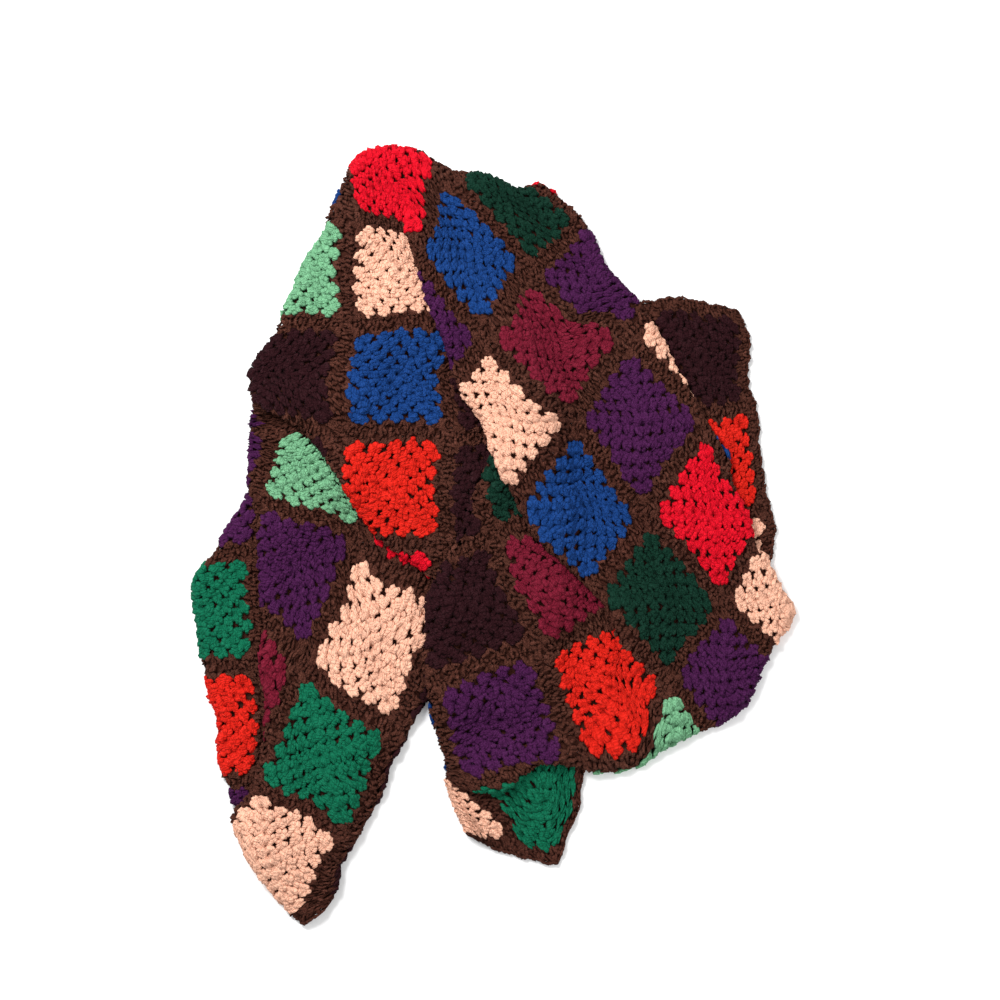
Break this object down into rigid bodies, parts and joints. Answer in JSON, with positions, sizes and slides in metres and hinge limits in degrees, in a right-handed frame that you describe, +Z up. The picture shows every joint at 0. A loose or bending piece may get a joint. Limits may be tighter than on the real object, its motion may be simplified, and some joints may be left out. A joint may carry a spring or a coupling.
{
  "type": "crocheted granny square blanket, folded in a loose heap",
  "caption": "Crocheted patchwork blanket of many-coloured squares with dark joins, lying in a loose heap of folds.",
  "frame": {"origin": "middle of the heap on the surface that it lies on", "axes": "+Z up; +Y along the heap's long side, towards the turned top"},
  "size_m": [0.6742, 0.8844, 0.0652],
  "materials": {
    "wool_yarn": "matt crocheted yarn in many colours"
  },
  "bodies": {
    "root": {"blanket": "wool_yarn"}
  },
  "joints": []
}
